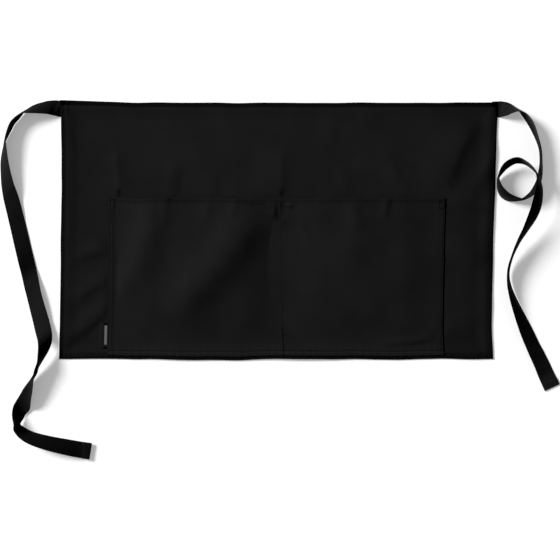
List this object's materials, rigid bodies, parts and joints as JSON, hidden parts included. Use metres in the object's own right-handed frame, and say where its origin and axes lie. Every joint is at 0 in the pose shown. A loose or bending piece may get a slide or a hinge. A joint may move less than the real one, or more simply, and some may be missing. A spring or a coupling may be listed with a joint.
{
  "type": "waist apron",
  "caption": "Black cotton waist apron laid flat, with a wide patch pocket split by a middle seam, a woven loop label and two loose tape ties.",
  "frame": {"origin": "middle of the panel's underside, where the cloth lies on a table", "axes": "+X along the waist towards the right-hand tie as seen from the front, +Y towards the waist edge, +Z out of the apron's front face"},
  "size_m": [0.9089, 0.5832, 0.0516],
  "materials": {
    "twill": "matt black cotton and polyester twill",
    "tape": "black herringbone cotton tape with a faint sheen",
    "thread": "black polyester sewing thread, slightly glossy",
    "label": "black damask woven label with a plain light grey stripe"
  },
  "bodies": {
    "root": {"panel": "twill", "waist_hem": "twill", "bottom_hem": "twill", "left_hem": "twill", "right_hem": "twill", "pocket": "twill", "label": "label", "tack_left": "thread", "tack_middle": "thread", "tack_right": "thread", "left_tie": "tape", "left_tie_end": "tape", "right_tie": "tape", "right_tie_end": "tape"}
  },
  "joints": []
}
